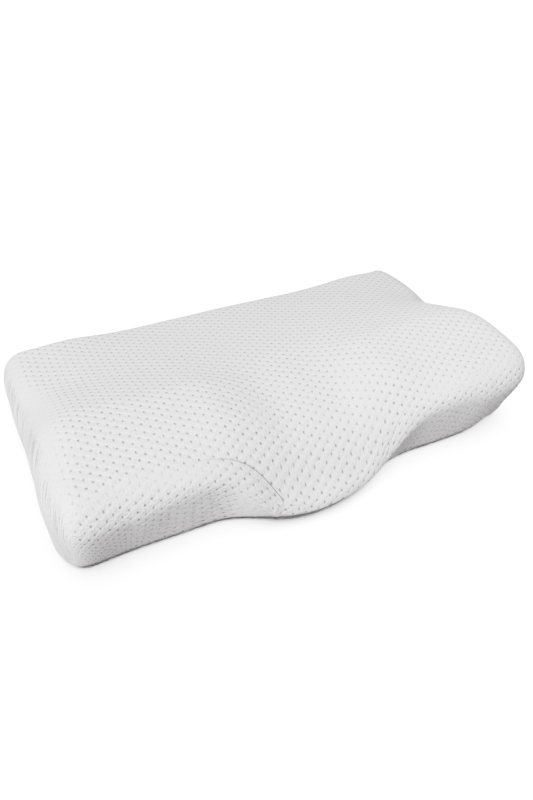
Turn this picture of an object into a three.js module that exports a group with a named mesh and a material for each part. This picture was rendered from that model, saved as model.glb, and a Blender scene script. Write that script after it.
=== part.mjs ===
// Cervical pillow: one filled cushion with a raised wing at each end, a tongue in the
// middle of the front that ramps up to the neck ridge, a head hollow behind the ridge and
// a lower back, closed underneath by a flat sewn base panel.
// Millimetres: x along the length, y from the front to the back, z up from the surface.
import * as THREE from 'three';

// Driving dimensions
const PANEL_THICKNESS = 2.5;
const SEAM_GAP = 0.3;
const PANEL_SETBACK = 2;
const FOOT_HEIGHT = 16;
const FOOT_REACH = 10;
const LEAN_POWER = 1.3;

// Faces along the front, along each end, and up each zone of the side
const FRONT_STEPS = 46;
const END_STEPS = 22;
const FOOT_STEPS = 4;
const WALL_STEPS = 4;
const SHOULDER_STEPS = 6;
const SAMPLES_PER_SPAN = 40;

// The plan's outline at its widest, from the middle of the front round the right end to
// the middle of the back. under: how far the side draws in at the base. shoulder: radius
// of the upper edge. leftX, leftY: how much fuller the same place is on the left.
const OUTLINE = [
  { at: 'tongue', x: 0, y: -167, under: 22, shoulder: 7, leftX: 0, leftY: 0 },
  { at: 'tongueSide', x: 44, y: -159, under: 20, shoulder: 8, leftX: 1, leftY: -6 },
  { at: 'notch', x: 81, y: -147, under: 18, shoulder: 14, leftX: 4, leftY: -9 },
  { at: 'wingRoot', x: 120, y: -140, under: 15, shoulder: 19, leftX: 1, leftY: -2 },
  { at: 'wing', x: 167, y: -142, under: 16, shoulder: 29, leftX: 0, leftY: 1 },
  { at: 'wingOuter', x: 217, y: -144, under: 20, shoulder: 35, leftX: 1, leftY: 1 },
  { at: 'frontCorner', x: 267, y: -136, under: 24, shoulder: 33, leftX: 7, leftY: -9 },
  { at: 'cornerEnd', x: 292, y: -105, under: 5, shoulder: 42, leftX: -1, leftY: -2 },
  { at: 'end', x: 292, y: -48, under: 5, shoulder: 53, leftX: -1, leftY: -1 },
  { at: 'waist', x: 286, y: 21, under: 7, shoulder: 60, leftX: 4, leftY: 0 },
  { at: 'endBack', x: 291, y: 91, under: 7, shoulder: 36, leftX: 1, leftY: 0 },
  { at: 'backCorner', x: 277, y: 167, under: 8, shoulder: 32, leftX: 6, leftY: 1 },
  { at: 'back', x: 233, y: 169, under: 9, shoulder: 24, leftX: 0, leftY: 4 },
  { at: 'backHalf', x: 131, y: 169, under: 10, shoulder: 22, leftX: 0, leftY: 3 },
  { at: 'backMiddle', x: 0, y: 170, under: 11, shoulder: 23, leftX: 0, leftY: 0 },
];

// How far the sections lie from the middle, on either side of it
const SECTIONS = { middle: 0, tongue: 40, slope: 71, root: 100, wing: 141, outer: 207, end: 267 };

// The top's height in every section, one row for each place along y
const TOP = [
  { at: 'lip', y: -177, middle: 25, tongue: 22, slope: 28, root: 56, wing: 100, outer: 115, end: 115 },
  { at: 'ramp', y: -151, middle: 42, tongue: 43, slope: 51, root: 73, wing: 105, outer: 112, end: 114 },
  { at: 'rise', y: -126, middle: 69, tongue: 72, slope: 81, root: 91, wing: 102, outer: 110, end: 114 },
  { at: 'brow', y: -96, middle: 88, tongue: 90, slope: 101, root: 109, wing: 110, outer: 113, end: 116 },
  { at: 'crest', y: -50, middle: 99, tongue: 100, slope: 109, root: 116, wing: 117, outer: 119, end: 122 },
  { at: 'edge', y: -25, middle: 100, tongue: 101, slope: 108, root: 114, wing: 116, outer: 118, end: 120 },
  { at: 'fall', y: 0, middle: 98, tongue: 99, slope: 102, root: 106, wing: 108, outer: 110, end: 110 },
  { at: 'hollow', y: 61, middle: 87, tongue: 87, slope: 88, root: 89, wing: 89, outer: 87, end: 78 },
  { at: 'low', y: 121, middle: 75, tongue: 75, slope: 74, root: 74, wing: 75, outer: 75, end: 71 },
  { at: 'rear', y: 174, middle: 66, tongue: 65, slope: 65, root: 64, wing: 64, outer: 71, end: 69 },
];

// A smooth curve through rows of numbers at increasing keys, with three-point slopes
function curveThrough(keys, rows) {
  const last = keys.length - 1;
  const chord = (i) => rows[i + 1].map((value, c) => (value - rows[i][c]) / (keys[i + 1] - keys[i]));
  const slope = (i) => {
    if (i === 0) return chord(0);
    if (i === last) return chord(last - 1);
    const before = keys[i] - keys[i - 1];
    const after = keys[i + 1] - keys[i];
    const next = chord(i);
    return chord(i - 1).map((value, c) => (value * after + next[c] * before) / (before + after));
  };
  const slopes = keys.map((_, i) => slope(i));
  return (place) => {
    const q = Math.min(Math.max(place, keys[0]), keys[last]);
    let i = 0;
    while (i < last - 1 && q > keys[i + 1]) i += 1;
    const span = keys[i + 1] - keys[i];
    const s = (q - keys[i]) / span;
    const rest = 1 - s;
    return rows[i].map((value, c) => rest * rest * (1 + 2 * s) * value
      + s * rest * rest * span * slopes[i][c]
      + s * s * (3 - 2 * s) * rows[i + 1][c]
      - s * s * rest * span * slopes[i + 1][c]);
  };
}

// The top's height anywhere in the plan, even on both sides of the middle
function makeHeight() {
  const names = Object.keys(SECTIONS);
  const places = Object.values(SECTIONS);
  const depths = TOP.map((row) => row.y);
  const profiles = names.map((name) => curveThrough(depths, TOP.map((row) => [row[name]])));
  const keys = [-places[1], ...places];
  const mirrored = [profiles[1], ...profiles];
  return (x, y) => curveThrough(keys, mirrored.map((profile) => profile(y)))(Math.abs(x))[0];
}

// The closed outline as rows of x, y, under, shoulder and the inward direction there,
// counterclockwise from above
function outlineRows() {
  const right = OUTLINE.map((p) => [p.x, p.y, p.under, p.shoulder]);
  const left = OUTLINE.slice(1, -1).map((p) => [-p.x - p.leftX, p.y + p.leftY, p.under, p.shoulder]);
  const rows = [...right, ...left.reverse()];
  return rows.map((row, i) => {
    const before = rows.at(i - 1);
    const after = rows[(i + 1) % rows.length];
    const length = Math.hypot(after[0] - before[0], after[1] - before[1]);
    return [...row, -(after[1] - before[1]) / length, (after[0] - before[0]) / length];
  });
}

// Samples of the outline, evenly spaced along each of its four sides, corner to corner
function sampleOutline() {
  const rows = outlineRows();
  const count = rows.length;
  const wrapped = [...rows.slice(-2), ...rows, ...rows.slice(0, 3)];
  const keys = [0];
  wrapped.slice(1).forEach((row, i) => {
    keys.push(keys[i] + Math.sqrt(Math.hypot(row[0] - wrapped[i][0], row[1] - wrapped[i][1])));
  });
  const along = curveThrough(keys, wrapped);
  const keyOf = (index) => keys[index + 2];
  const loop = keyOf(count) - keyOf(0);

  const side = (from, to, steps) => {
    const start = keyOf(from);
    const end = to > from ? keyOf(to) : keyOf(to) + loop;
    const fine = SAMPLES_PER_SPAN * steps;
    const at = (key) => along(key > keyOf(count) ? key - loop : key);
    const points = Array.from({ length: fine + 1 }, (_, i) => at(start + ((end - start) * i) / fine));
    const lengths = [0];
    points.slice(1).forEach((p, i) => {
      lengths.push(lengths[i] + Math.hypot(p[0] - points[i][0], p[1] - points[i][1]));
    });
    return Array.from({ length: steps }, (_, i) => {
      const wanted = (lengths[fine] * i) / steps;
      return points[lengths.findIndex((length) => length >= wanted)];
    });
  };

  const find = (name) => OUTLINE.findIndex((p) => p.at === name);
  const frontRight = find('frontCorner');
  const backRight = find('backCorner');
  return [
    ...side(count - frontRight, frontRight, FRONT_STEPS),
    ...side(frontRight, backRight, END_STEPS),
    ...side(backRight, count - backRight, FRONT_STEPS),
    ...side(count - backRight, count - frontRight, END_STEPS),
  ].map(([x, y, under, shoulder, inwardX, inwardY]) => ({ x, y, under, shoulder, inwardX, inwardY }));
}

const heightAt = makeHeight();
const outline = sampleOutline();

// One closed ring: every outline point moved inward and set at a height
function ring(insetAt, levelAt) {
  return outline.map((p) => {
    const inset = insetAt(p);
    const x = p.x + p.inwardX * inset;
    const y = p.y + p.inwardY * inset;
    return new THREE.Vector3(x, y, levelAt(p, x, y));
  });
}

// How far the side leans in at a height, from nothing at the shoulder to under at the base
function leanAt(p, z) {
  const wallTop = heightAt(p.x, p.y) - p.shoulder;
  return p.under * (1 - Math.min(z / wallTop, 1)) ** LEAN_POWER;
}

// The side's rings, from the flat base up over the shoulder to the top's own border
function sideRings(baseLevel) {
  const rings = [];
  const quarter = (i, steps) => (Math.PI / 2) * (i / steps);
  for (let i = 0; i <= FOOT_STEPS; i += 1) {
    const turn = quarter(i, FOOT_STEPS);
    const z = baseLevel + (FOOT_HEIGHT - baseLevel) * (1 - Math.cos(turn));
    rings.push(ring((p) => leanAt(p, z) + FOOT_REACH * (1 - Math.sin(turn)), () => z));
  }
  for (let i = 1; i <= WALL_STEPS; i += 1) {
    const level = (p) => {
      const wallTop = heightAt(p.x, p.y) - p.shoulder;
      return FOOT_HEIGHT + (wallTop - FOOT_HEIGHT) * (i / WALL_STEPS);
    };
    rings.push(ring((p) => leanAt(p, level(p)), level));
  }
  for (let i = 1; i <= SHOULDER_STEPS; i += 1) {
    const turn = quarter(i, SHOULDER_STEPS);
    const drop = 1 - Math.sin(turn);
    const inset = (p) => p.shoulder * (1 - Math.cos(turn));
    rings.push(ring(inset, (p, x, y) => heightAt(x, y) - p.shoulder * drop));
  }
  return rings;
}

// Faces between two rings, the upper one listed second
function bandFaces(lower, upper, count) {
  return Array.from({ length: count }, (_, i) => {
    const j = (i + 1) % count;
    return [lower + i, lower + j, upper + j, lower + i, upper + j, upper + i];
  }).flat();
}

function fanFaces(centre, first, count, up) {
  return Array.from({ length: count }, (_, i) => {
    const j = (i + 1) % count;
    return up ? [centre, first + i, first + j] : [centre, first + j, first + i];
  }).flat();
}

function closedGeometry(points, faces) {
  const geometry = new THREE.BufferGeometry();
  geometry.setAttribute('position', new THREE.Float32BufferAttribute(points.flatMap((p) => p.toArray()), 3));
  geometry.setIndex(faces);
  geometry.computeVertexNormals();
  return geometry;
}

// The top between its four border lines: a grid blended from them, set at the top's height
function topGrid(border, firstIndex, points) {
  const wide = FRONT_STEPS;
  const deep = END_STEPS;
  const count = border.length;
  const borderIndex = (column, row) => {
    if (row === 0) return column;
    if (column === wide) return wide + row;
    if (row === deep) return wide + deep + (wide - column);
    return (2 * wide + deep + (deep - row)) % count;
  };
  const index = [];
  for (let row = 0; row <= deep; row += 1) {
    const v = row / deep;
    for (let column = 0; column <= wide; column += 1) {
      const u = column / wide;
      const onBorder = row === 0 || row === deep || column === 0 || column === wide;
      if (onBorder) {
        index.push(firstIndex + borderIndex(column, row));
        continue;
      }
      const blend = (axis) => {
        const at = (c, r) => border[borderIndex(c, r)][axis];
        const lines = (1 - v) * at(column, 0) + v * at(column, deep)
          + (1 - u) * at(0, row) + u * at(wide, row);
        const corners = (1 - u) * (1 - v) * at(0, 0) + u * (1 - v) * at(wide, 0)
          + (1 - u) * v * at(0, deep) + u * v * at(wide, deep);
        return lines - corners;
      };
      const x = blend('x');
      const y = blend('y');
      index.push(points.length);
      points.push(new THREE.Vector3(x, y, heightAt(x, y)));
    }
  }
  const faces = [];
  for (let row = 0; row < deep; row += 1) {
    for (let column = 0; column < wide; column += 1) {
      const a = index[row * (wide + 1) + column];
      const b = index[row * (wide + 1) + column + 1];
      const c = index[(row + 1) * (wide + 1) + column + 1];
      const d = index[(row + 1) * (wide + 1) + column];
      faces.push(a, b, c, a, c, d);
    }
  }
  return faces;
}

function cushionGeometry() {
  const count = outline.length;
  const baseLevel = PANEL_THICKNESS + SEAM_GAP;
  const rings = sideRings(baseLevel);
  const points = rings.flat();
  const faces = [];
  for (let i = 0; i < rings.length - 1; i += 1) {
    faces.push(...bandFaces(i * count, (i + 1) * count, count));
  }
  const centre = points.length;
  points.push(new THREE.Vector3(0, 0, baseLevel));
  faces.push(...fanFaces(centre, 0, count, false));
  faces.push(...topGrid(rings.at(-1), (rings.length - 1) * count, points));
  return closedGeometry(points, faces);
}

function basePanelGeometry() {
  const count = outline.length;
  const inset = (p) => p.under + FOOT_REACH + PANEL_SETBACK;
  const points = [...ring(inset, () => 0), ...ring(inset, () => PANEL_THICKNESS)];
  points.push(new THREE.Vector3(0, 0, 0), new THREE.Vector3(0, 0, PANEL_THICKNESS));
  return closedGeometry(points, [
    ...bandFaces(0, count, count),
    ...fanFaces(2 * count, 0, count, false),
    ...fanFaces(2 * count + 1, count, count, true),
  ]);
}

// White double knit on the cushion, the same cloth drawn flat under it
const knit = new THREE.MeshStandardMaterial({ color: 0xe9e8e9, roughness: 0.92, metalness: 0 });
const baseKnit = new THREE.MeshStandardMaterial({ color: 0xdfdee0, roughness: 0.95, metalness: 0 });

const cushion = new THREE.Mesh(cushionGeometry(), knit);
cushion.name = 'cushion';

const basePanel = new THREE.Mesh(basePanelGeometry(), baseKnit);
basePanel.name = 'base_panel';

// The origin is under the middle of the whole pillow, on the surface it lies on
const middle = new THREE.Box3().setFromObject(cushion).getCenter(new THREE.Vector3());
const pillow = new THREE.Group();
pillow.add(cushion, basePanel);
pillow.position.set(-middle.x, -middle.y, 0);

export default pillow;
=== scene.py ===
# Cervical pillow: the sewn cover over its filling, and the base panel, around the fixed frame.
# Lengths are worked out in millimetres, in the outline's own plan, and turned into metres and
# moved under the middle of the pillow only where an object is made.
import math

import bmesh
import bpy
import numpy as np
from mathutils import Matrix, Vector, noise


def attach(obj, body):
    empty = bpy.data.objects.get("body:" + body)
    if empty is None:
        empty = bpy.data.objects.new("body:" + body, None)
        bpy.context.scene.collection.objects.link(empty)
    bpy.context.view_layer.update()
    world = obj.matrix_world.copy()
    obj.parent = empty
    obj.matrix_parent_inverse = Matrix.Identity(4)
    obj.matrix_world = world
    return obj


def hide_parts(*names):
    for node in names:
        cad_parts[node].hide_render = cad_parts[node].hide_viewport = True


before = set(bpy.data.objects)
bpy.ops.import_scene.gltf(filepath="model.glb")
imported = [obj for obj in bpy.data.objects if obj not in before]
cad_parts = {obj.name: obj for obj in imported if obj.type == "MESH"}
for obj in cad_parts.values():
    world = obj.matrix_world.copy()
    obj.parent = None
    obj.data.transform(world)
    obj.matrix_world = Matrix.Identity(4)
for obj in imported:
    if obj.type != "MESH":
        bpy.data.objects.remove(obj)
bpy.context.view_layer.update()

MM = 0.001

# How finely the cover is meshed: quads along the front, along each end, and up the side
ACROSS = 264
DEEP = 142
FOOT_STEPS = 9
WALL_STEPS = 18
SHOULDER_STEPS = 16
UNDERSIDE_STEPS = 3

# The side: a rounded foot on the base panel, a wall that leans, and a rounded shoulder
PANEL_THICKNESS = 2.5
SEAM_GAP = 0.3
PANEL_SETBACK = 2
FOOT_HEIGHT = 16
FOOT_REACH = 10
LEAN_POWER = 1.3

# The outline at its widest, from the middle of the front round the right end to the middle
# of the back: how far it draws in at the base, the radius of its upper edge, and how much
# fuller the same place is on the left
OUTLINE = [
    dict(at="tongue", x=0, y=-167, under=22, shoulder=7, left_x=0, left_y=0),
    dict(at="tongue side", x=44, y=-159, under=20, shoulder=8, left_x=1, left_y=-6),
    dict(at="notch", x=81, y=-147, under=18, shoulder=14, left_x=4, left_y=-9),
    dict(at="wing root", x=120, y=-140, under=15, shoulder=19, left_x=1, left_y=-2),
    dict(at="wing", x=167, y=-142, under=16, shoulder=29, left_x=0, left_y=1),
    dict(at="wing outer", x=217, y=-144, under=20, shoulder=35, left_x=1, left_y=1),
    dict(at="front corner", x=267, y=-136, under=24, shoulder=33, left_x=7, left_y=-9),
    dict(at="corner end", x=292, y=-105, under=5, shoulder=42, left_x=-1, left_y=-2),
    dict(at="end", x=292, y=-48, under=5, shoulder=53, left_x=-1, left_y=-1),
    dict(at="waist", x=286, y=21, under=7, shoulder=60, left_x=4, left_y=0),
    dict(at="end back", x=291, y=91, under=7, shoulder=36, left_x=1, left_y=0),
    dict(at="back corner", x=277, y=167, under=8, shoulder=32, left_x=6, left_y=1),
    dict(at="back", x=233, y=169, under=9, shoulder=24, left_x=0, left_y=4),
    dict(at="back half", x=131, y=169, under=10, shoulder=22, left_x=0, left_y=3),
    dict(at="back middle", x=0, y=170, under=11, shoulder=23, left_x=0, left_y=0),
]

# How far the sections lie from the middle, on either side of it
SECTIONS = dict(middle=0, tongue=40, slope=71, root=100, wing=141, outer=207, end=267)

# The top's height in every section, one row for each place along y
TOP = [
    dict(at="lip", y=-177, middle=25, tongue=22, slope=28, root=56, wing=100, outer=115, end=115),
    dict(at="ramp", y=-151, middle=42, tongue=43, slope=51, root=73, wing=105, outer=112, end=114),
    dict(at="rise", y=-126, middle=69, tongue=72, slope=81, root=91, wing=102, outer=110, end=114),
    dict(at="brow", y=-96, middle=88, tongue=90, slope=101, root=109, wing=110, outer=113, end=116),
    dict(at="crest", y=-50, middle=99, tongue=100, slope=109, root=116, wing=117, outer=119, end=122),
    dict(at="edge", y=-25, middle=100, tongue=101, slope=108, root=114, wing=116, outer=118, end=120),
    dict(at="fall", y=0, middle=98, tongue=99, slope=102, root=106, wing=108, outer=110, end=110),
    dict(at="hollow", y=61, middle=87, tongue=87, slope=88, root=89, wing=89, outer=87, end=78),
    dict(at="low", y=121, middle=75, tongue=75, slope=74, root=74, wing=75, outer=75, end=71),
    dict(at="rear", y=174, middle=66, tongue=65, slope=65, root=64, wing=64, outer=71, end=69),
]


# The shape: the construction of the solids with finer steps
def curve_through(keys, rows, places):
    """A smooth curve through rows at increasing keys.

    Each row holds one number, or one for each place.
    """
    keys, rows = np.asarray(keys, float), np.asarray(rows, float)
    places = np.clip(places, keys[0], keys[-1])
    spans = np.diff(keys)
    chords = np.diff(rows, axis=0) / spans[:, None]
    before, after = spans[:-1, None], spans[1:, None]
    inner = (chords[:-1] * after + chords[1:] * before) / (before + after)
    slopes = np.concatenate([chords[:1], inner, chords[-1:]])
    i = np.clip(np.searchsorted(keys, places) - 1, 0, len(spans) - 1)
    column = np.arange(len(places)) if rows.shape[1] > 1 else 0
    s = (places - keys[i]) / spans[i]
    rest = 1 - s
    values = rest**2 * (1 + 2 * s) * rows[i, column] + s**2 * (3 - 2 * s) * rows[i + 1, column]
    return values + s * rest * spans[i] * (rest * slopes[i, column] - s * slopes[i + 1, column])


def height_at(x, y):
    """The top's height anywhere in the plan, even on both sides of the middle."""
    shape = np.shape(x)
    x, y = np.ravel(x), np.ravel(y)
    places = list(SECTIONS.values())
    depths = [row["y"] for row in TOP]
    profiles = [curve_through(depths, [[row[name]] for row in TOP], y) for name in SECTIONS]
    keys = [-places[1]] + places
    mirrored = [profiles[1]] + profiles
    return curve_through(keys, mirrored, np.abs(x)).reshape(shape)


def outline_rows():
    """The closed outline as rows of x, y, under, shoulder and the inward direction there."""
    right = [[p["x"], p["y"], p["under"], p["shoulder"]] for p in OUTLINE]
    left = [
        [-p["x"] - p["left_x"], p["y"] + p["left_y"], p["under"], p["shoulder"]]
        for p in OUTLINE[1:-1]
    ]
    rows = np.array(right + left[::-1], float)
    along = np.roll(rows, -1, axis=0)[:, :2] - np.roll(rows, 1, axis=0)[:, :2]
    along /= np.linalg.norm(along, axis=1)[:, None]
    return np.column_stack([rows, -along[:, 1], along[:, 0]])


def sample_outline(front_steps, end_steps, samples=6000):
    """Samples evenly spaced along each of the outline's four sides, corner to corner."""
    rows = outline_rows()
    count = len(rows)
    wrapped = np.concatenate([rows[-2:], rows, rows[:3]])
    chords = np.linalg.norm(np.diff(wrapped[:, :2], axis=0), axis=1)
    keys = np.concatenate([[0], np.cumsum(np.sqrt(chords))])
    first, last = keys[2], keys[2 + count]

    def side(start, end, steps):
        low, high = keys[2 + start], keys[2 + end]
        places = np.linspace(low, high if high > low else high + last - first, samples)
        places = np.where(places > last, places - (last - first), places)
        points = [curve_through(keys, wrapped[:, c:c + 1], places) for c in range(wrapped.shape[1])]
        lengths = np.concatenate([[0], np.cumsum(np.hypot(np.diff(points[0]), np.diff(points[1])))])
        wanted = lengths[-1] * np.arange(steps) / steps
        return np.array([np.interp(wanted, lengths, column) for column in points])

    names = [row["at"] for row in OUTLINE]
    front, back = names.index("front corner"), names.index("back corner")
    return np.concatenate([
        side(count - front, front, front_steps),
        side(front, back, end_steps),
        side(back, count - back, front_steps),
        side(count - back, count - front, end_steps),
    ], axis=1)


def cover_rings(outline):
    """Rings of points from the flat base up over the shoulder to the top's border, lowest first."""
    x, y, under, shoulder, inward_x, inward_y = outline
    wall_top = height_at(x, y) - shoulder
    base = PANEL_THICKNESS + SEAM_GAP

    def ring(inset, level):
        place_x, place_y = x + inward_x * inset, y + inward_y * inset
        z = level(place_x, place_y) if callable(level) else np.broadcast_to(level, x.shape)
        return np.column_stack([place_x, place_y, z])

    def lean(z):
        return under * (1 - np.minimum(z / wall_top, 1)) ** LEAN_POWER

    rings = []
    for i in range(FOOT_STEPS + 1):
        turn = math.pi / 2 * i / FOOT_STEPS
        z = base + (FOOT_HEIGHT - base) * (1 - math.cos(turn))
        rings.append(ring(lean(z) + FOOT_REACH * (1 - math.sin(turn)), z))
    for i in range(1, WALL_STEPS + 1):
        z = FOOT_HEIGHT + (wall_top - FOOT_HEIGHT) * i / WALL_STEPS
        rings.append(ring(lean(z), z))
    for i in range(1, SHOULDER_STEPS + 1):
        turn = math.pi / 2 * i / SHOULDER_STEPS
        inset = shoulder * (1 - math.cos(turn))
        drop = shoulder * (1 - math.sin(turn))
        rings.append(ring(inset, lambda px, py, d=drop: height_at(px, py) - d))
    return rings


def faces_between(ring_count, count):
    """Quads between rings of points that follow one another, each ring of the same count."""
    step = np.arange(count)
    following = np.roll(step, -1)
    band = np.column_stack([step, following, following + count, step + count])
    return np.concatenate([band + i * count for i in range(ring_count - 1)])


def blended_grid(border):
    """The plan of a grid blended between its four border lines, and the border's own indices."""
    count = len(border)
    columns, rows = np.arange(ACROSS + 1), np.arange(DEEP + 1)
    front, right = columns, ACROSS + rows
    back, left = 2 * ACROSS + DEEP - columns, (2 * (ACROSS + DEEP) - rows) % count
    u, v = (columns / ACROSS)[None, :, None], (rows / DEEP)[:, None, None]
    plan = border[:, :2]
    lines = (1 - v) * plan[front][None] + v * plan[back][None]
    lines = lines + (1 - u) * plan[left][:, None] + u * plan[right][:, None]
    corners = (1 - v) * ((1 - u) * plan[front[0]] + u * plan[front[-1]])
    corners = corners + v * ((1 - u) * plan[back[0]] + u * plan[back[-1]])
    index = np.full((DEEP + 1, ACROSS + 1), -1)
    index[0], index[-1], index[:, 0], index[:, -1] = front, back, left, right
    return lines - corners, index


def cover_mesh():
    """The cover's points, faces, and each point's place in the cloth.

    The place is the plan on the top. From the top's border on, it goes on outwards by the
    distance down the side.
    """
    outline = sample_outline(ACROSS, DEEP)
    rings = cover_rings(outline)
    count = outline.shape[1]
    border = rings[-1]
    steps = [np.linalg.norm(upper - lower, axis=1) for lower, upper in zip(rings[:-1], rings[1:])]
    down = np.concatenate([np.cumsum(steps[::-1], axis=0)[::-1], np.zeros((1, count))])
    outward = -outline[4:6].T / np.hypot(outline[4], outline[5])[:, None]
    cloth = [border[:, :2] + outward * distance[:, None] for distance in down]

    base = rings[0]
    middle = base.mean(axis=0)
    shares = [i / UNDERSIDE_STEPS for i in range(1, UNDERSIDE_STEPS)]
    inner = [middle + (base - middle) * share for share in shares]
    rings = inner + rings
    cloth = [ring[:, :2] for ring in inner] + cloth

    points, places = np.concatenate(rings), np.concatenate(cloth)
    plan, index = blended_grid(border)
    start = (len(rings) - 1) * count
    index = np.where(index >= 0, index + start, -1)
    inside = index < 0
    index[inside] = len(points) + np.arange(inside.sum())
    top = plan[inside]
    points = np.concatenate([points, np.column_stack([top, height_at(top[:, 0], top[:, 1])])])
    places = np.concatenate([places, top])
    corners = [index[:-1, :-1], index[:-1, 1:], index[1:, 1:], index[1:, :-1]]
    grid = np.column_stack([c.ravel() for c in corners])
    return points, np.concatenate([faces_between(len(rings), count), grid]), places


# Details of the cover, as the photograph shows them

# The darts: one at each inner front corner, from the tongue's edge up the wing's front edge, as
# distances from the middle and places along y
DART = [
    (64, -155), (67, -152), (71, -147.5), (77, -142), (87, -134.5), (96, -129.5), (108, -125),
    (120, -122), (132, -120.5), (145, -119.5), (160, -118),
]

# A dart thins out over its last stretch. It has a sewn groove, a rolled edge that stands off from
# the groove's line, and a soft trough round both
DART_FADE = 70
DART_FADE_POWER = 0.7
DART_TROUGH = 1.0
DART_TROUGH_WIDTH = 5
DART_LIP = 0.3
DART_LIP_AT = 1.3
DART_LIP_WIDTH = 0.7
DART_GROOVE = 1.3
DART_GROOVE_WIDTH = 0.75

# How dark each dart's line is, its thread with painted shade in its groove, lighter on the right as
# that fold is lit, and how deep each dart is, on the left (-1) and on the right (1)
DART_THREAD_AND_SHADE = {-1: 1.0, 1: 0.12}
DART_DEPTH = {-1: 1.0, 1: 0.5}

# The stretch beside a dart that has finer faces, and how often each of them is cut
DART_FINE_REACH = 4.2
DART_FINE_CUTS = 3

# The small tuck at the lower end of the left dart
TUCK = [(-66.5, -156.5), (-75, -157.5)]
TUCK_LIFT = 1.1
TUCK_WIDTH = 1.4

# The cloth's unevenness: how far it swells, and over what length
SWELLS = [(0.45, 85), (0.22, 34), (0.08, 12)]

# How far the surface has turned, from level (0) to upright (1), where the wings' front shoulders
# set in, where they end again, and where the sides set in
WING_SHOULDER_FROM = (0.03, 0.12)
WING_SHOULDER_TO = (0.2, 0.4)
SIDE_FROM = (0.25, 0.8)

# How far the surface faces an end, from not at all (0) to wholly (1), where the end's shoulder and
# its wall set in
END_SHOULDER_FROM = (0.25, 0.5)
END_WALL_FROM = (0.62, 0.8)

# How far from the middle the wings' front shoulders start, and how much of the knit fades there
WING_FROM = (110, 150)
WING_FADE = 0.7

# The dimples: the spacing of their columns and of the rows in a column, their own size, the
# shares of that size where their depth and their painted shade are full and where they end, and how
# ragged that is
DOT_COLUMN = 7.7
DOT_ROW = 9.88
DOT_WIDTH = 2.9
DOT_LENGTH = 3.4
DOT_CORE = 0.2
DOT_RIM = 1.25
DOT_RAGGED = 0.6

# The knit's relief in millimetres: the puffed cells between the dimples, the ribs, the streaks, the
# stitches and the grain
PUFF = 0.25
RIB_RELIEF = 0.12
STREAK_RELIEF = 0.7
STITCH_RELIEF = 0.03
GRAIN_RELIEF = 1.3

# What is left of the cells and the dimples on the sides, of the ribs and the streaks on the top, of
# the ribs where they slant, and how much of the cells and the dimples the shoulders lose
WALL_PUFF = 0.4
WALL_DOT = 0.85
RIB_ON_TOP = 0.2
STREAK_ON_TOP = 0.25
RIB_SLANTED = 0.5
SHOULDER_FADE = 0.9

# How far the ribs wander, in radians of their wave, where they slant and on the ends, the fineness
# per metre and the detail of that wandering, and the spacing of the ribs on the ends
RIB_WANDER = 5.0
END_WANDER = 2.0
RIB_WANDER_GRAIN = 90.0
RIB_WANDER_DETAIL = 1.0
END_RIB = 5.2

# The streaks: their length against their width where they slant, their width and length on the
# ends, how far they lean towards the front for each millimetre down an end, and the detail of their
# noise with the range of it that their edges take up
STREAK_LENGTH = 1.2
END_STREAK = (2.9, 28.0)
END_LEAN = 1.1
STREAK_DETAIL = 2.0
STREAK_EDGE = (0.36, 0.56)

# The stitches' width and height, and the fineness per metre and the detail of the grain
KNIT_WALE = 1.15
KNIT_COURSE = 0.95
FINE_GRAIN = 400.0
BROAD_GRAIN = 14.0
GRAIN_DETAIL = 3.0

# How much painted shade the streaks' hollows get on the sides and on the ends, how much the fine
# grain and the broad grain darken the cloth, and the grey of a dart's line: thread and painted shade
SIDE_STREAK_PAINTED_SHADE = 0.35
END_STREAK_PAINTED_SHADE = 0.9
GRAIN_TONE = 1.5
BROAD_TONE = 0.1
SEAM_THREAD_AND_SHADE_GREY = 0.16

# The knits: the cloth's own colour, the colour of the painted shade in the dimples and the streaks'
# hollows, which the grain also darkens towards at random, and the dimples' depth
KNITS = [
    dict(name="cover knit", light=(0.875, 0.835, 0.858), shade=(0.2, 0.19, 0.2), dimple_depth=1.1),
    dict(name="base knit", light=(0.8, 0.8, 0.81), shade=(0.2, 0.2, 0.21), dimple_depth=0.5),
]
CLOTH_SURFACE = {
    "Roughness": 0.9, "Sheen Weight": 0.15, "Sheen Roughness": 0.5, "Specular IOR Level": 0.2,
}

# The base panel: the turns of its rounded edge in degrees, from its underside up, and the shares of
# its reach where the flat faces have their rings
PANEL_EDGE_TURNS = range(-90, 91, 30)
PANEL_RINGS = [0.02, 0.35, 0.7, 0.95]

# The camera, in the outline's plan, millimetres and degrees, with the photograph's height in pixels
CAMERA_PLACE = (-291.8, -504.3, 564.9)
CAMERA_AZIMUTH = 29.51
CAMERA_DOWN = 42.65
CAMERA_ROLL = -4.36
FOCAL_PIXELS = 637.2
PHOTO_HEIGHT = 800
SENSOR = 36
NEAREST_SEEN = 0.01

# The studio, in metres: the lamps for the pillow, with their power in watts
LAMPS = [
    dict(name="front left", place=(-1.1, -0.5, 1.2), towards=(0, 0, 0), size=0.6, power=126),
    dict(name="right wing", place=(0.2, -0.12, 0.4), towards=(0.2, -0.1, 0), size=0.15, power=1.8),
]

# The surround: how brightly it lights the pillow, and how bright the camera sees it
WORLD_LIGHT = 0.2
WORLD_SEEN = 20

# The light from overhead, which falls on the floor alone, with the spread that softens the shadow
OVERHEAD_FROM = (-0.08, -0.14, 1.0)
OVERHEAD_LIGHT = 64
OVERHEAD_SPREAD = 40

# The floor: its reach, how far it lies below the base, how bright it is to the pillow, and how
# bright the camera sees it
FLOOR_REACH = 12
FLOOR_DROP = 0.0003
FLOOR_BOUNCE = 0.05
FLOOR_SEEN = 0.95

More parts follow.
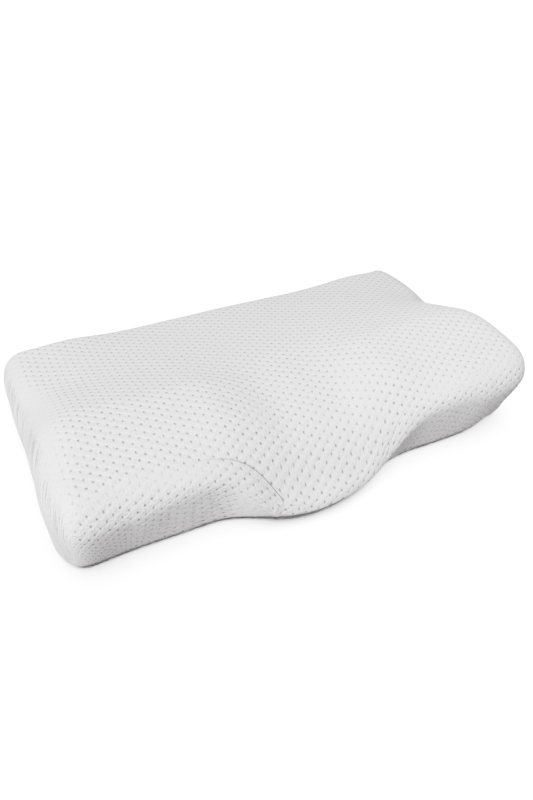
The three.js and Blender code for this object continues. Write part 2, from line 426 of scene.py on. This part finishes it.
# The cover's mesh, and the middle of its plan, which lies at the frame's origin
cover_points, cover_faces, cover_places = cover_mesh()
MIDDLE = (cover_points.min(axis=0) + cover_points.max(axis=0)) / 2
MIDDLE[2] = 0


def to_frame(points):
    """Points of the outline's plan in millimetres as points of the frame in metres."""
    return (np.asarray(points, float) - MIDDLE) * MM


def make_piece(name, points, faces, places, material):
    """A smooth mesh object from millimetre points, with the cloth's own coordinates as its UV map."""
    mesh = bpy.data.meshes.new(name)
    mesh.from_pydata(to_frame(points).tolist(), [], [list(map(int, face)) for face in faces])
    mesh.update()
    layer = mesh.uv_layers.new(name="cloth")
    corners = np.empty(len(mesh.loops), np.int32)
    mesh.loops.foreach_get("vertex_index", corners)
    layer.data.foreach_set("uv", (np.asarray(places)[corners] * MM).astype(np.float32).ravel())
    mesh.shade_smooth()
    mesh.materials.append(material)
    piece = bpy.data.objects.new(name, mesh)
    bpy.context.scene.collection.objects.link(piece)
    return piece


def distance_to(route, places):
    """Each place's distance from a route of points, how far along it is, and the route's length."""
    best = np.full(len(places), np.inf)
    along = np.zeros(len(places))
    travelled = 0
    for start, end in zip(route[:-1], route[1:]):
        span = end - start
        length = np.linalg.norm(span)
        share = np.clip((places - start) @ span / length**2, 0, 1)
        distance = np.linalg.norm(places - start - share[:, None] * span, axis=1)
        nearer = distance < best
        best[nearer] = distance[nearer]
        along[nearer] = (travelled + share * length)[nearer]
        travelled += length
    return best, along, travelled


def dart_route(side):
    """The dart's route in the plan, smooth and evenly stepped, on the right (1) or the left (-1)."""
    points = np.array(DART, float) * (side, 1)
    lengths = np.concatenate([[0], np.cumsum(np.linalg.norm(np.diff(points, axis=0), axis=1))])
    places = np.linspace(0, lengths[-1], int(lengths[-1]) + 1)
    columns = [curve_through(lengths, points[:, c:c + 1], places) for c in range(2)]
    return np.column_stack(columns)


def fade_at(along, total):
    """How much of the dart shows at a distance along it: all of it, thinning out at its upper end."""
    return np.clip((total - along) / DART_FADE, 0, 1) ** DART_FADE_POWER


def refine_along_darts(piece):
    """Finer faces in the cover along each dart and the tuck, so that their forms show."""
    work = bmesh.new()
    work.from_mesh(piece.data)
    centres = np.array([face.calc_center_median() for face in work.faces]) / MM + MIDDLE
    near = np.zeros(len(centres), bool)
    for route in (dart_route(-1), dart_route(1), np.array(TUCK)):
        distance, _, _ = distance_to(route, centres[:, :2])
        near |= (distance < DART_FINE_REACH) & (centres[:, 2] > FOOT_HEIGHT)
    work.faces.ensure_lookup_table()
    edges = {edge for i in np.flatnonzero(near) for edge in work.faces[i].edges}
    bmesh.ops.subdivide_edges(work, edges=list(edges), cuts=DART_FINE_CUTS, use_grid_fill=True)
    work.to_mesh(piece.data)
    work.free()
    piece.data.shade_smooth()


def between(values, low, high):
    """A smooth rise from 0 at low to 1 at high."""
    share = np.clip((values - low) / (high - low), 0, 1)
    return share**2 * (3 - 2 * share)


def mark(mesh, name, values):
    """Keeps a number at each point of a mesh, for its material to read."""
    attribute = mesh.attributes.new(name, "FLOAT", "POINT")
    attribute.data.foreach_set("value", values.astype(np.float32))


def sculpt_cover(piece):
    """The drawn shape as cloth: slightly uneven, stitched along the darts, and with the tuck."""
    mesh = piece.data
    flat = np.empty(len(mesh.vertices) * 3, np.float32)
    mesh.vertices.foreach_get("co", flat)
    points = flat.reshape(-1, 3) / MM + MIDDLE
    mesh.vertex_normals.foreach_get("vector", flat)
    normals = flat.reshape(-1, 3).copy()
    lift = np.zeros(len(points))
    for height, length in SWELLS:
        lift += height * np.array([noise.noise(Vector(p) / length) for p in points])
    lift *= np.clip((points[:, 2] - FOOT_HEIGHT / 2) / FOOT_HEIGHT, 0, 1)
    seam_thread_and_shade = np.zeros(len(points))
    for side in (-1, 1):
        distance, along, total = distance_to(dart_route(side), points[:, :2])
        show = fade_at(along, total) * (points[:, 2] > FOOT_HEIGHT) * DART_DEPTH[side]
        lift -= DART_TROUGH * np.exp(-(distance / DART_TROUGH_WIDTH) ** 2) * show
        lift += DART_LIP * np.exp(-((distance - DART_LIP_AT) / DART_LIP_WIDTH) ** 2) * show
        groove = np.exp(-(distance / DART_GROOVE_WIDTH) ** 2) * show
        lift -= DART_GROOVE * groove
        # The dart's dark line: its thread, with painted shade in the groove
        seam_thread_and_shade = np.maximum(seam_thread_and_shade, groove / DART_DEPTH[side] * DART_THREAD_AND_SHADE[side])
    distance, _, _ = distance_to(np.array(TUCK), points[:, :2])
    lift += TUCK_LIFT * np.exp(-(distance / TUCK_WIDTH) ** 2) * (points[:, 2] > FOOT_HEIGHT)
    moved = to_frame(points + normals * lift[:, None])
    mesh.vertices.foreach_set("co", moved.astype(np.float32).ravel())
    mark(mesh, "seam_thread_and_shade", seam_thread_and_shade)
    mark_regions(mesh, points, normals)
    mesh.update()


def mark_regions(mesh, points, normals):
    """Marks the shoulders, the sides and the ends, where the knit's relief and its painted shade
    differ.
    """
    tilt = 1 - normals[:, 2]
    endwards = np.abs(normals[:, 0])
    front = between(tilt, *WING_SHOULDER_FROM) * (1 - between(tilt, *WING_SHOULDER_TO))
    front *= between(np.abs(points[:, 0]), *WING_FROM) * WING_FADE * (normals[:, 1] < 0)
    mark(mesh, "shoulder", np.maximum(front, between(endwards, *END_SHOULDER_FROM)))
    mark(mesh, "side", between(tilt, *SIDE_FROM))
    mark(mesh, "end", between(endwards, *END_WALL_FROM))


# Materials
class Nodes:
    """A short way to write a material's nodes: each call adds one and returns its output."""

    def __init__(self, name):
        self.material = bpy.data.materials.new(name)
        self.material.use_nodes = True
        self.tree = self.material.node_tree
        self.shader = self.tree.nodes["Principled BSDF"]

    def add(self, kind, output=0, settings=(), **inputs):
        """Adds a node of a kind, with its settings and inputs, and returns one of its outputs."""
        node = self.tree.nodes.new(kind)
        for key, value in dict(settings).items():
            setattr(node, key, value)
        for key, value in inputs.items():
            self.put(node, key.replace("_", " "), value)
        return node.outputs[output]

    def put(self, node, key, value):
        """Sets an input or links to it. Inputs that share a name are called by number: input0."""
        number = key.removeprefix("input")
        socket = node.inputs[int(number)] if number.isdigit() else node.inputs[key]
        if isinstance(value, bpy.types.NodeSocket):
            self.tree.links.new(value, socket)
        else:
            socket.default_value = value

    def math(self, operation, first, second=0.0, third=0.0):
        """A sum, product or other operation on up to three numbers."""
        return self.add("ShaderNodeMath", settings={"operation": operation},
                        input0=first, input1=second, input2=third)

    def mix(self, share, first, second):
        """A colour between two."""
        return self.add("ShaderNodeMix", output=2, settings={"data_type": "RGBA"},
                        input0=share, input6=first, input7=second)

    def blend(self, share, first, second):
        """A number that goes from the first to the second as the share goes from 0 to 1."""
        return self.math("MULTIPLY_ADD", share, self.math("SUBTRACT", second, first), first)

    def range(self, value, low, high, new_low, new_high):
        """A smooth step from one number to another as the value goes from low to high."""
        return self.add("ShaderNodeMapRange", settings={"interpolation_type": "SMOOTHSTEP"},
                        Value=value, From_Min=low, From_Max=high, To_Min=new_low, To_Max=new_high)


def wave(n, place, length):
    """A sine wave of a length in millimetres along a place in metres."""
    return n.math("SINE", n.math("MULTIPLY", place, 2 * math.pi / (length * MM)))


def dimple_shade(n, u, v, grain):
    """How deep in a dimple a place is, for relief and painted shade: oval dimples in columns, each
    column half a row on.
    """
    column = n.math("DIVIDE", u, DOT_COLUMN * MM)
    stagger = n.math("MULTIPLY", n.math("FLOORED_MODULO", n.math("FLOOR", column), 2.0), 0.5)
    row = n.math("ADD", n.math("DIVIDE", v, DOT_ROW * MM), stagger)
    from_column = n.math("MULTIPLY", n.math("SUBTRACT", n.math("FRACT", column), 0.5), DOT_COLUMN)
    from_row = n.math("MULTIPLY", n.math("SUBTRACT", n.math("FRACT", row), 0.5), DOT_ROW)
    across = n.math("DIVIDE", from_column, DOT_WIDTH / 2)
    along = n.math("DIVIDE", from_row, DOT_LENGTH / 2)
    squares = n.math("ADD", n.math("MULTIPLY", across, across), n.math("MULTIPLY", along, along))
    ragged = n.math("MULTIPLY", n.math("SUBTRACT", grain, 0.5), DOT_RAGGED)
    reach = n.math("ADD", n.math("SQRT", squares), ragged)
    return n.range(reach, DOT_CORE, DOT_RIM, 1.0, 0.0)


def lattice_lines(n, u, v):
    """Two coordinates that grow across the lattice's rising and falling diagonals, in radians."""
    half_turn = math.pi / (DOT_COLUMN * MM)
    down_rows = n.math("MULTIPLY", v, 2 * math.pi / (DOT_ROW * MM))
    rise = n.math("MULTIPLY_ADD", u, -half_turn, down_rows)
    fall = n.math("MULTIPLY_ADD", u, half_turn, down_rows)
    return rise, fall


def rib_wave(n, cloth, rise, leaning, side, end):
    """The ribs: slanting along the lattice, and upright on the ends."""
    wander = n.add("ShaderNodeTexNoise", Vector=cloth, Scale=RIB_WANDER_GRAIN,
                   Detail=RIB_WANDER_DETAIL)
    slant = n.math("MULTIPLY_ADD", wander, RIB_WANDER, n.math("MULTIPLY", rise, 2.0))
    upright = n.math("MULTIPLY", leaning, 2 * math.pi / (END_RIB * MM))
    upright = n.math("MULTIPLY_ADD", wander, END_WANDER, upright)
    slanted = n.math("MULTIPLY", n.math("SINE", slant), RIB_SLANTED)
    strength = n.math("MULTIPLY_ADD", side, 1 - RIB_ON_TOP, RIB_ON_TOP)
    return n.math("MULTIPLY", strength, n.blend(end, slanted, n.math("SINE", upright)))


def streak_noise(n, u, rise, fall, leaning, end):
    """The streaks of the drawn cloth: noise drawn out along the lattice, and upwards on the ends."""
    drawn_out = n.add("ShaderNodeCombineXYZ", X=n.math("DIVIDE", rise, math.pi),
                      Y=n.math("DIVIDE", fall, math.pi * STREAK_LENGTH))
    width, length = END_STREAK
    drawn_up = n.add("ShaderNodeCombineXYZ", X=n.math("DIVIDE", leaning, width * MM),
                     Y=n.math("DIVIDE", u, length * MM))
    slanted, upright = (
        n.add("ShaderNodeTexNoise", Vector=place, Scale=1.0, Detail=STREAK_DETAIL)
        for place in (drawn_out, drawn_up)
    )
    return n.blend(end, slanted, upright)


def knit_material(name, light, shade, dimple_depth):
    """White double knit: staggered oval dimples, the cloth puffed between them, and fine stitches.
    The dimples and the streaks' hollows get painted shade.
    """
    n = Nodes(name)
    cloth = n.add("ShaderNodeUVMap", settings={"uv_map": "cloth"})
    u, v = (n.add("ShaderNodeSeparateXYZ", output=axis, input0=cloth) for axis in (0, 1))
    side, shoulder, end, seam_thread_and_shade = (
        n.add("ShaderNodeAttribute", output=2, settings={"attribute_name": mark_name})
        for mark_name in ("side", "shoulder", "end", "seam_thread_and_shade")
    )
    grain, broad = (
        n.add("ShaderNodeTexNoise", Vector=cloth, Scale=fineness, Detail=GRAIN_DETAIL)
        for fineness in (FINE_GRAIN, BROAD_GRAIN)
    )
    rise, fall = lattice_lines(n, u, v)
    leaning = n.math("MULTIPLY_ADD", n.math("ABSOLUTE", u), END_LEAN, v)

    kept = n.math("MULTIPLY_ADD", shoulder, -SHOULDER_FADE, 1.0)
    dimple = dimple_shade(n, u, v, grain)
    dimple = n.math("MULTIPLY", dimple, n.math("MULTIPLY_ADD", side, WALL_DOT - 1, 1.0))
    dimple = n.math("MULTIPLY", dimple, kept)
    cells = n.math("SUBTRACT", n.math("SINE", fall), n.math("SINE", rise))
    cells = n.math("MULTIPLY", cells, n.math("MULTIPLY_ADD", side, WALL_PUFF - 1, 1.0))
    cells = n.math("MULTIPLY", cells, kept)
    ribs = rib_wave(n, cloth, rise, leaning, side, end)
    streaks = streak_noise(n, u, rise, fall, leaning, end)
    streak_strength = n.math("MULTIPLY_ADD", side, 1 - STREAK_ON_TOP, STREAK_ON_TOP)
    stitches = n.math("MULTIPLY", wave(n, u, KNIT_WALE), wave(n, v, KNIT_COURSE))

    # The share of the way to the dark colour: painted shade in the dimples, darkening by the grain at
    # random, and painted shade in the streaks' hollows
    painted_shade_and_grain = n.math("ADD", dimple, n.math("MULTIPLY", n.math("SUBTRACT", 0.5, grain), GRAIN_TONE))
    painted_shade_and_grain = n.math("ADD", painted_shade_and_grain, n.math("MULTIPLY", n.math("SUBTRACT", broad, 0.5), BROAD_TONE))
    # Painted shade in the streaks' hollows on the sides and the ends, which also darkens those sides
    # as a whole
    side_painted_shade = n.math("MULTIPLY", side, SIDE_STREAK_PAINTED_SHADE)
    streak_painted_shade = n.math("MAXIMUM", side_painted_shade, n.math("MULTIPLY", end, END_STREAK_PAINTED_SHADE))
    painted_shade_and_grain = n.math("MULTIPLY_ADD", n.range(streaks, *STREAK_EDGE, 1.0, 0.0), streak_painted_shade, painted_shade_and_grain)
    painted_shade_and_grain = n.math("MAXIMUM", n.math("MINIMUM", painted_shade_and_grain, 1.0), 0.0)
    colour = n.mix(painted_shade_and_grain, (*light, 1), (*shade, 1))
    # The darts' line: the thread's grey with painted shade in the groove
    colour = n.mix(seam_thread_and_shade, colour, (SEAM_THREAD_AND_SHADE_GREY, SEAM_THREAD_AND_SHADE_GREY, SEAM_THREAD_AND_SHADE_GREY, 1))
    n.tree.links.new(colour, n.shader.inputs["Base Color"])

    relief = n.math("MULTIPLY", dimple, -dimple_depth * MM)
    streaks = n.math("MULTIPLY", streaks, streak_strength)
    for height, amount in (
        (cells, PUFF), (ribs, RIB_RELIEF), (streaks, STREAK_RELIEF), (stitches, STITCH_RELIEF),
        (grain, GRAIN_RELIEF),
    ):
        relief = n.math("MULTIPLY_ADD", height, amount * MM, relief)
    bump = n.add("ShaderNodeBump", Height=relief, Strength=1.0, Distance=1.0)
    n.tree.links.new(bump, n.shader.inputs["Normal"])
    for socket, value in CLOTH_SURFACE.items():
        n.shader.inputs[socket].default_value = value
    return n.material


cover_knit, base_knit = (knit_material(**row) for row in KNITS)


# Pieces
def make_cover():
    """The cover: the whole upper skin over the filling."""
    cover = make_piece("cover", cover_points, cover_faces, cover_places, cover_knit)
    refine_along_darts(cover)
    sculpt_cover(cover)
    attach(cover, "root")
    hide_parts("cushion")
    return cover


def make_base_panel():
    """The base panel: a thin flat panel with rounded edges, drawn from the outline at its foot."""
    x, y, under, _, inward_x, inward_y = sample_outline(ACROSS, DEEP)
    radius = PANEL_THICKNESS / 2
    rings = []
    for degrees in PANEL_EDGE_TURNS:
        turn = math.radians(degrees)
        inset = under + FOOT_REACH + PANEL_SETBACK + radius * (1 - math.cos(turn))
        z = np.full(len(x), radius + radius * math.sin(turn))
        rings.append(np.column_stack([x + inward_x * inset, y + inward_y * inset, z]))
    middle = rings[0].mean(axis=0)

    def inner(ring, share):
        plan = middle + (ring - middle) * share
        return np.column_stack([plan[:, :2], ring[:, 2]])

    underside = [inner(rings[0], share) for share in PANEL_RINGS]
    upper_side = [inner(rings[-1], share) for share in PANEL_RINGS[::-1]]
    rings = underside + rings + upper_side
    points = np.concatenate(rings)
    panel = make_piece("base", points, faces_between(len(rings), len(x)), points[:, :2], base_knit)
    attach(panel, "root")
    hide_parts("base_panel")
    return panel


cover = make_cover()
base = make_base_panel()


# Floor, light and camera
def make_floor():
    """A pale floor, brighter to the camera than it is to the pillow, as a white sweep would be."""
    n = Nodes("floor")
    seen = n.add("ShaderNodeLightPath", output=0)
    colour = n.mix(seen, (FLOOR_BOUNCE,) * 3 + (1,), (FLOOR_SEEN,) * 3 + (1,))
    diffuse = n.tree.nodes.new("ShaderNodeBsdfDiffuse")
    n.tree.links.new(colour, diffuse.inputs["Color"])
    n.tree.links.new(diffuse.outputs[0], n.tree.nodes["Material Output"].inputs["Surface"])
    mesh = bpy.data.meshes.new("floor")
    corners = [(-1, -1), (1, -1), (1, 1), (-1, 1)]
    mesh.from_pydata([(x * FLOOR_REACH, y * FLOOR_REACH, 0) for x, y in corners], [], [(0, 1, 2, 3)])
    mesh.materials.append(n.material)
    floor = bpy.data.objects.new("floor", mesh)
    bpy.context.scene.collection.objects.link(floor)
    floor.location.z = -FLOOR_DROP
    return floor


def light_only(light, name, pieces):
    """Lets a light fall on these pieces alone, as a flagged lamp would."""
    group = bpy.data.collections.new(name)
    for piece in pieces:
        group.objects.link(piece)
    light.light_linking.receiver_collection = group


def make_light(name, kind, place, towards, pieces):
    """A light at a place in metres that falls on some pieces alone and is unseen by the camera."""
    data = bpy.data.lights.new(name, kind)
    light = bpy.data.objects.new(name, data)
    bpy.context.scene.collection.objects.link(light)
    light.location = place
    light.visible_camera = False
    light.rotation_mode = "QUATERNION"
    light.rotation_quaternion = (Vector(towards) - Vector(place)).to_track_quat("-Z", "Y")
    light_only(light, name + " falls on", pieces)
    return data


def make_world():
    """A white surround: as bright as the floor to the camera, and a soft light to the pillow."""
    world = bpy.data.worlds.new("studio")
    world.use_nodes = True
    nodes, links = world.node_tree.nodes, world.node_tree.links
    seen = nodes.new("ShaderNodeLightPath")
    strength = nodes.new("ShaderNodeMath")
    strength.operation = "MULTIPLY_ADD"
    strength.inputs[1].default_value = WORLD_SEEN - WORLD_LIGHT
    strength.inputs[2].default_value = WORLD_LIGHT
    links.new(seen.outputs["Is Camera Ray"], strength.inputs[0])
    links.new(strength.outputs[0], nodes["Background"].inputs["Strength"])
    nodes["Background"].inputs["Color"].default_value = (1, 1, 1, 1)
    bpy.context.scene.world = world


def make_camera():
    """The camera at the photograph's place and angle."""
    azimuth, down, roll = (math.radians(v) for v in (CAMERA_AZIMUTH, CAMERA_DOWN, CAMERA_ROLL))
    ahead = math.cos(down)
    forward = Vector((math.sin(azimuth) * ahead, math.cos(azimuth) * ahead, -math.sin(down)))
    level = Vector((math.cos(azimuth), -math.sin(azimuth), 0))
    lower = forward.cross(level)
    right = math.cos(roll) * level + math.sin(roll) * lower
    below = -math.sin(roll) * level + math.cos(roll) * lower
    data = bpy.data.cameras.new("camera")
    data.sensor_width = SENSOR
    data.lens = FOCAL_PIXELS * SENSOR / PHOTO_HEIGHT
    data.clip_start = NEAREST_SEEN
    camera = bpy.data.objects.new("camera", data)
    bpy.context.scene.collection.objects.link(camera)
    turn = Matrix((right, -below, -forward)).transposed().to_4x4()
    place = Vector(to_frame([CAMERA_PLACE])[0])
    camera.matrix_world = Matrix.Translation(place) @ turn
    bpy.context.scene.camera = camera


floor = make_floor()
for row in LAMPS:
    lamp = make_light(row["name"], "AREA", row["place"], row["towards"], [cover, base])
    lamp.size, lamp.energy = row["size"], row["power"]
overhead = make_light("overhead", "SUN", OVERHEAD_FROM, (0, 0, 0), [floor])
overhead.energy, overhead.angle = OVERHEAD_LIGHT, math.radians(OVERHEAD_SPREAD)
make_world()
make_camera()
